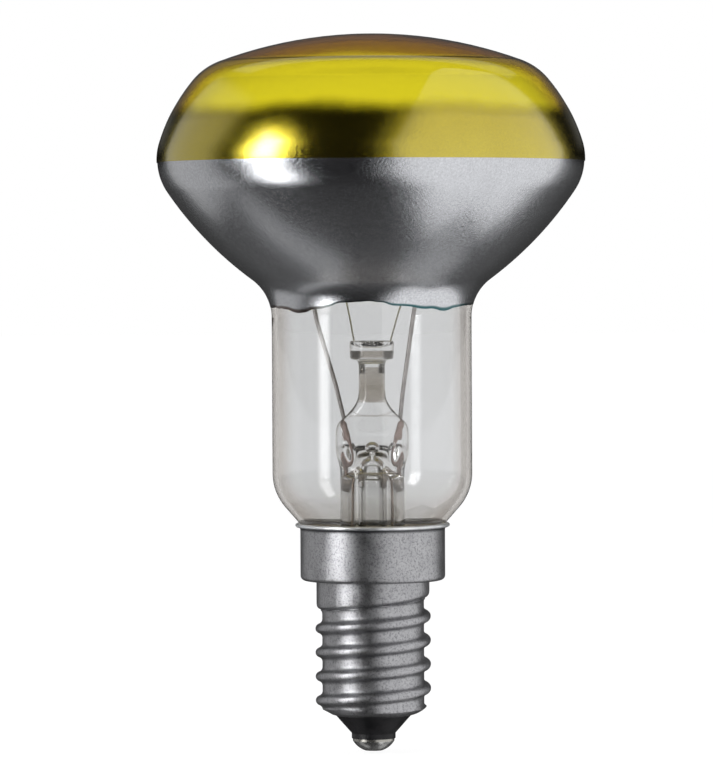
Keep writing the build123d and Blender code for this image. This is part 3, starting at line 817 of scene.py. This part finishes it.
def makeCapMetal():
    material, tree, shader, coords = newMaterial("satinAluminium")
    shader.inputs["Metallic"].default_value = 1.0
    bloom = addNoise(tree, coords, *capLook["bloom"])
    grain = addNoise(tree, coords, *capLook["grain"])
    body = addTones(tree, bloom, capLook["dull"], capLook["bright"], capLook["bloomSpan"])
    specks = addRange(tree, grain, *capLook["speckSpan"], capLook["speckMost"], 0.0)
    colour = addMix(tree, specks, body, capLook["speck"])
    # painted shadow: darker colour under the lip, rising into the crease
    low, high = capLook["crease"]
    lipShadow = addRange(tree, axisOf(tree, coords, "Z"), low * mm, high * mm, 0.0,
                     capLook["lipShadowMost"])
    colourFrom(tree, shader, addMix(tree, lipShadow, colour, capLook["lipShadow"]))
    roughFrom(tree, shader, bloom, capLook["roughness"])
    addBump(tree, shader, grain, capLook["grainStrength"], capLook["grainHeight"] * mm)
    return material


# moulded insulator
blackLook = {
    "dark": (0.006, 0.006, 0.007), "light": (0.016, 0.015, 0.017), "cloud": (700.0, 3.0),
    "roughness": (0.3, 0.5), "specular": 0.25,
    "grain": (2600.0, 3.0, 0.6), "grainStrength": 0.3, "grainHeight": 0.08,
}


def makeBlackGlass():
    material, tree, shader, coords = newMaterial("blackGlass")
    shader.inputs["Specular IOR Level"].default_value = blackLook["specular"]
    cloud = addNoise(tree, coords, *blackLook["cloud"])
    colourFrom(tree, shader, addTones(tree, cloud, blackLook["dark"], blackLook["light"]))
    roughFrom(tree, shader, cloud, blackLook["roughness"])
    grain = addNoise(tree, coords, *blackLook["grain"])
    addBump(tree, shader, grain, blackLook["grainStrength"], blackLook["grainHeight"] * mm)
    return material


# gritty cement between the cap and the glass
cementLook = {
    "dark": (0.72, 0.62, 0.50), "light": (0.92, 0.84, 0.74), "roughness": 0.85,
    "grit": (900.0, 5.0, 0.7), "gritStrength": 0.6, "gritHeight": 0.15,
}


def makeCement():
    material, tree, shader, coords = newMaterial("brownCement")
    shader.inputs["Roughness"].default_value = cementLook["roughness"]
    grit = addNoise(tree, coords, *cementLook["grit"])
    colourFrom(tree, shader, addTones(tree, grit, cementLook["dark"], cementLook["light"]))
    addBump(tree, shader, grit, cementLook["gritStrength"], cementLook["gritHeight"] * mm)
    return material


# pieces
clearGlass = makeGlass("clearGlass", neckLook)
stemGlass = makeGlass("stemGlass", stemLook)
silverFilm = makeSilver()
goldMirror = makeGold()
yellowGlass = makeYellowGlass()
print("glass and coatings ready")

clearBulb = makeClearBulb()
clearBulb.visible_shadow = False  # daylight gets in to the cement and the wires
place(clearBulb, clearGlass, "clear_glass", "glass_bulb")
place(makeMirrorBowl(), silverFilm, "mirror_film", "mirror_coating")
place(makeYellowDome(), yellowGlass, "yellow_lacquer", "dome_lacquer")
place(makeGoldBand(), goldMirror, "yellow_lacquer")
place(makeGlassStem(), stemGlass, "stem_glass", "flare_tube", "exhaust_tube", "arbor_rod")
print("bulb and stem built")

leadMetal = makeMetal("drawnNickel", (0.46, 0.43, 0.41), (0.28, 0.45), 0.6)
supportMetal = makeMetal("supportWire", (0.62, 0.61, 0.60), (0.3, 0.45), 0.8, metallic=0.3)
sealMetal = makeMetal("sealWire", (0.52, 0.40, 0.36), (0.3, 0.5), 0.6)
copperWire = makeMetal("copperWire", (0.48, 0.36, 0.28), (0.25, 0.45), 0.6)
coilMetal = makeMetal("coilWire", (0.16, 0.16, 0.17), (0.3, 0.5), 0.7)
solderMetal = makeMetal("brightSolder", (0.66, 0.66, 0.65), (0.16, 0.34), 0.7, 1800.0, 0.3)
washerMetal = makeMetal("tinnedWasher", (0.42, 0.41, 0.38), (0.25, 0.4), 0.6)
capMetal = makeCapMetal()
# painted highlight: the lip is the cap's aluminium with a far lighter colour, standing in for the
# bright glass it mirrors
lipMetal = makeMetal("paintedBrightLip", (0.90, 0.92, 0.94), (0.35, 0.55), 0.75)
blackGlass = makeBlackGlass()
brownCement = makeCement()

place(makeFilament(), coilMetal, "filament_metal", "filament")
place(makeCapThread(), capMetal, "cap_metal", "cap_shell")
place(makeCapSkirt(), capMetal, "cap_metal")
place(makeCapLip(), lipMetal, "cap_metal")

# CAD nodes that are shown as they are
nodeFinishes = [
    (leadMetal, "inner_lead_left", "inner_lead_right"),
    (supportMetal, "support_wire_left", "support_wire_right"),
    (sealMetal, "seal_wire_left", "seal_wire_right"),
    (copperWire, "outer_lead_side", "outer_lead_centre"),
    (brownCement, "capping_cement"),
    (washerMetal, "contact_plate"),
    (solderMetal, "contact_solder", "side_solder"),
    (blackGlass, "cap_insulator"),
]
for finish, *nodeNames in nodeFinishes:
    for nodeName in nodeNames:
        dress(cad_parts[nodeName], finish)
print("wires and cap dressed")


# studio: pale floor, white surroundings, a tall strip on the left and soft panels round the lamp
studio = {
    "floorSize": 6.0, "floorDrop": 0.4,
    "floorGrey": (0.2, 0.2, 0.2, 1), "floorRoughness": 0.9, "floorGlow": 0.9,
    # the axis a card faces along, its place on that axis, its two extents in order, its soft edge
    # and its strength
    "cards": {
        "stripLight": ("X", -0.30, (-0.28, -0.12), (-0.30, 0.31), 0.06, 14.0),
        "rightPanel": ("X", 0.30, (-1.50, 0.21), (-0.82, 0.85), 0.05, 1.05),
        "leftPanel": ("X", -0.30, (-0.05, 0.40), (-0.24, 0.40), 0.08, 0.5),
        "topPanel": ("Z", 0.565, (-0.40, 0.50), (0.24, 0.56), 0.05, 0.45),
        "lowLeft": ("Z", -0.24, (-0.40, -0.02), (-0.01, 0.14), 0.05, 0.44),
        "lowRight": ("Z", -0.24, (0.03, 0.22), (0.0, 0.22), 0.05, 0.42),
    },
    # share of the strip's light at each height: dimmer towards its foot
    "stripSpan": (-0.1, 0.1),
    "stripFade": [(-0.06, 0.42), (-0.025, 0.31), (0.005, 0.31), (0.013, 0.34), (0.045, 0.38),
                  (0.085, 1.0)],
    # white as it is seen directly or through glass, and the light that it gives
    "seen": (1.0, 1.0, 1.0),
    "diffuse": (0.6, 0.6, 0.6),
    # what mirrors see of the low half of the dark studio, from the front to the back
    "mirrored": [(0.04, 0.012), (0.34, 0.06), (0.5, 0.10), (0.65, 0.13), (0.86, 0.11),
                 (0.93, 0.06), (1.0, 0.04)],
    # what bounces inside glass, from below to above
    "inner": [(0.0, (0.40, 0.35, 0.30)), (0.36, (0.40, 0.35, 0.30)), (0.45, (0.15, 0.125, 0.105)),
              (0.55, (0.15, 0.125, 0.105)), (0.64, (0.40, 0.35, 0.30))],
    # the dark upper half, with a faint glow behind that the face mirrors at its far edge
    "sky": 0.005, "horizon": (-0.06, 0.02),
    "behind": 0.08, "behindHeights": (0.04, 0.12), "behindDepths": (0.8, 0.95),
    # the dark gaps between the white screens, and how many walls a view through the stem crosses
    "deep": (0.10, 0.095, 0.085), "gapAcross": (0.28, 0.40), "gapHeights": (0.28, 0.45),
    "stemWalls": 4.5,
}


def makeCard(name, axis, at, first, second, soft, strength):
    bm = bmesh.new()
    bmesh.ops.create_grid(bm, x_segments=1, y_segments=1, size=0.5)
    bmesh.ops.scale(bm, vec=(first[1] - first[0], second[1] - second[0], 1), verts=bm.verts)
    bmesh.ops.translate(bm, vec=(sum(first) / 2, sum(second) / 2, at), verts=bm.verts)
    if axis == "X":
        turned = Matrix(((0, 0, 1), (1, 0, 0), (0, 1, 0)))
        bmesh.ops.rotate(bm, cent=(0, 0, 0), matrix=turned, verts=bm.verts)
    card = finishMesh(bm, name, merge=False)
    material, tree, shader, coords = newMaterial(name)
    tree.nodes.remove(shader)
    glow = tree.nodes.new("ShaderNodeEmission")
    level = strength
    for side, (low, high) in zip("YZ" if axis == "X" else "XY", (first, second)):
        along = axisOf(tree, coords, side)
        for edge, inward in ((low, low + soft), (high, high - soft)):
            fade = addRange(tree, along, edge, inward, kind="SMOOTHSTEP")
            level = addMath(tree, "MULTIPLY", fade, level)
    if name == "stripLight":
        low, high = studio["stripSpan"]
        stops = [((spot - low) / (high - low), (share,) * 3) for spot, share in studio["stripFade"]]
        fade = addRamp(tree, addRange(tree, axisOf(tree, coords, "Z"), low, high), stops)
        level = addMath(tree, "MULTIPLY", fade, level)
    tree.links.new(level, glow.inputs["Strength"])
    tree.links.new(glow.outputs["Emission"], tree.nodes["Material Output"].inputs["Surface"])
    dress(card, material)
    card.visible_camera = False
    card.visible_transmission = name == "stripLight"


for cardName, card in studio["cards"].items():
    makeCard(cardName, *card)


def makeFloor():
    # seen from above only, and hidden from mirrors
    bm = bmesh.new()
    bmesh.ops.create_grid(bm, x_segments=1, y_segments=1, size=studio["floorSize"] / 2)
    bmesh.ops.translate(bm, vec=(0, 0, -studio["floorDrop"] * mm), verts=bm.verts)
    floor = finishMesh(bm, "paleFloor", merge=False)
    material, tree, shader = newMaterial("palePaper")[:3]
    setSockets(shader, {"Base Color": studio["floorGrey"], "Roughness": studio["floorRoughness"],
                        "Specular IOR Level": 0.0, "Emission Color": (1, 1, 1, 1),
                        "Emission Strength": studio["floorGlow"]})
    through = tree.nodes.new("ShaderNodeBsdfTransparent")
    side = tree.nodes.new("ShaderNodeNewGeometry")
    mixer = tree.nodes.new("ShaderNodeMixShader")
    tree.links.new(side.outputs["Backfacing"], mixer.inputs["Fac"])
    tree.links.new(shader.outputs["BSDF"], mixer.inputs[1])
    tree.links.new(through.outputs["BSDF"], mixer.inputs[2])
    tree.links.new(mixer.outputs["Shader"], tree.nodes["Material Output"].inputs["Surface"])
    dress(floor, material)
    floor.visible_glossy = False
    floor.visible_diffuse = False


makeFloor()


def makeSurround():
    # white where it is seen directly or through glass, dark where a surface mirrors it
    world = bpy.data.worlds.new("studio")
    scene.world = world
    world.use_nodes = True
    tree = world.node_tree
    glow = tree.nodes["Background"]
    path = tree.nodes.new("ShaderNodeLightPath").outputs
    coords = tree.nodes.new("ShaderNodeTexCoord").outputs["Generated"]
    x, y, z = (axisOf(tree, coords, axis) for axis in "XYZ")
    low = addRamp(tree, addRange(tree, y, -1.0, 1.0),
                  [(spot, (shade,) * 3) for spot, shade in studio["mirrored"]])
    behind = addMath(tree, "MULTIPLY",
                     addRange(tree, z, *studio["behindHeights"], 0.0, studio["behind"]),
                     addRange(tree, y, *studio["behindDepths"]))
    sky = addMath(tree, "MAXIMUM", behind, studio["sky"])
    dark = addMix(tree, addRange(tree, z, *studio["horizon"]), low, sky)
    bounced = addMath(tree, "MINIMUM", path["Glossy Depth"], 1.0)
    through = addMath(tree, "MINIMUM", path["Transmission Depth"], 1.0)
    inner = addRamp(tree, addRange(tree, z, -1.0, 1.0), studio["inner"])
    dark = addMix(tree, through, dark, inner)
    soft = addMix(tree, path["Is Diffuse Ray"], studio["seen"], studio["diffuse"])
    # the thick glass of the stem bends the view past the white screens to the gaps between them
    across = addMath(tree, "ABSOLUTE", addMath(tree, "MULTIPLY", x, y))
    gap = addMath(tree, "MAXIMUM", addRange(tree, across, *studio["gapAcross"]),
                  addRange(tree, addMath(tree, "ABSOLUTE", z), *studio["gapHeights"]))
    stemRay = addMath(tree, "GREATER_THAN", path["Transmission Depth"], studio["stemWalls"])
    straight = addMath(tree, "LESS_THAN", path["Diffuse Depth"], 0.5)
    stemRay = addMath(tree, "MULTIPLY", stemRay, straight)
    soft = addMix(tree, addMath(tree, "MULTIPLY", gap, stemRay), soft, studio["deep"])
    tree.links.new(addMix(tree, bounced, soft, dark), glow.inputs["Color"])


makeSurround()
scene.view_settings.view_transform = "Standard"

# long lens a little above the middle, with the small roll of the picture
camera = {"away": 0.56, "height": 0.058, "aside": -0.00181, "pitch": 1.504, "roll": -0.29,
          "lens": 224.95, "sensor": 36.0, "clip": (0.01, 100.0)}


def makeCamera():
    data = bpy.data.cameras.new("camera")
    data.lens = camera["lens"]
    data.sensor_width = camera["sensor"]
    data.clip_start, data.clip_end = camera["clip"]
    eye = bpy.data.objects.new("camera", data)
    scene.collection.objects.link(eye)
    eye.matrix_world = (
        Matrix.Translation((camera["aside"], -camera["away"], camera["height"]))
        @ Matrix.Rotation(radians(90 - camera["pitch"]), 4, "X")
        @ Matrix.Rotation(radians(camera["roll"]), 4, "Z")
    )
    scene.camera = eye


makeCamera()
print("studio and camera set")
